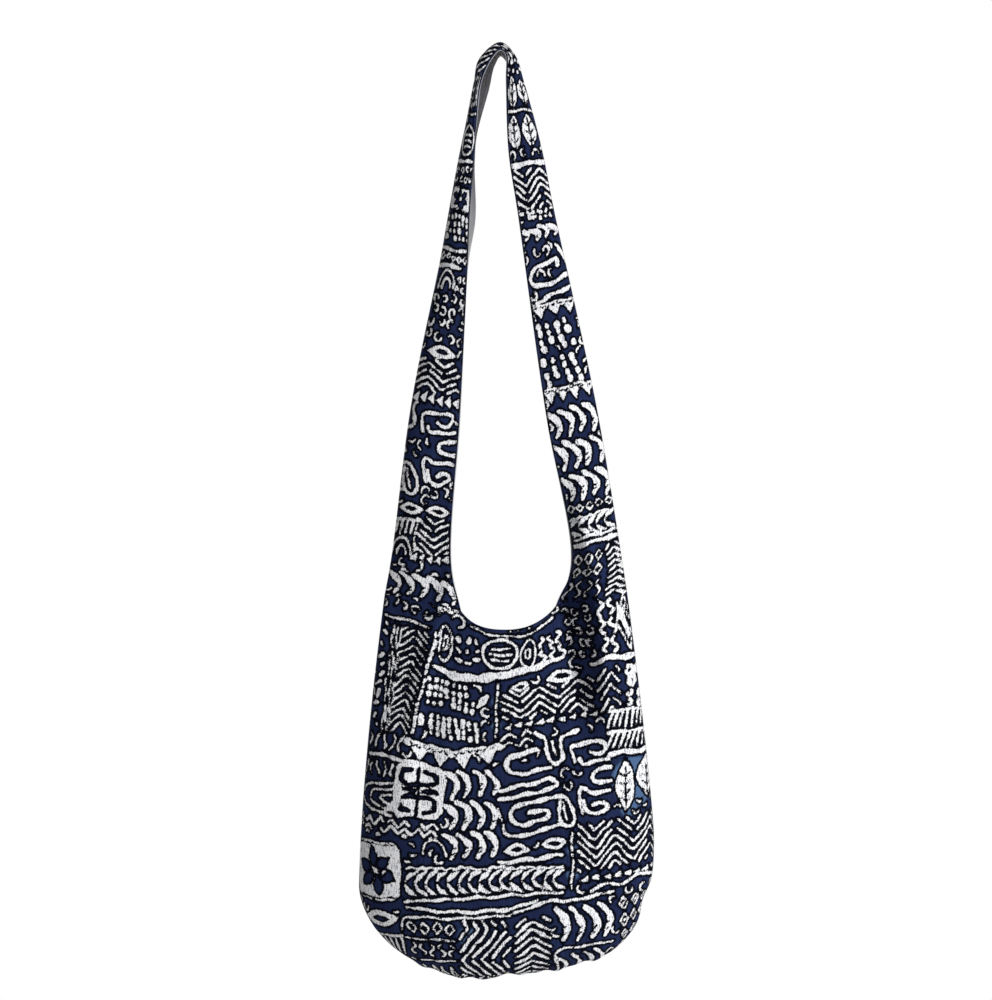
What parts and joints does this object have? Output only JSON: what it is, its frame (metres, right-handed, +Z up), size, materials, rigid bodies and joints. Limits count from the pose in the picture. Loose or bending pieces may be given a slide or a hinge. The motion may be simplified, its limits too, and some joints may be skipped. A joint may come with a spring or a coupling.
{
  "type": "crossbody bag",
  "caption": "Soft hobo crossbody bag of printed cotton with a grey lining: rounded body, U-shaped open mouth and a wide folded shoulder strap cut in one with the panels, hung by the strap.",
  "frame": {"origin": "where the strap hangs on a peg: the underside of the strap's fold at its top", "axes": "+Z up, +Y away from the bag's front, +X to the right seen from the front"},
  "size_m": [0.3242, 0.0804, 1.0287],
  "materials": {
    "printed_cotton": "matte woven cotton, indigo with a white and black wax-style print",
    "grey_lining": "matte plain-woven cotton"
  },
  "bodies": {
    "root": {"front_panel": "printed_cotton", "back_panel": "printed_cotton", "front_lining": "grey_lining", "back_lining": "grey_lining"}
  },
  "joints": []
}
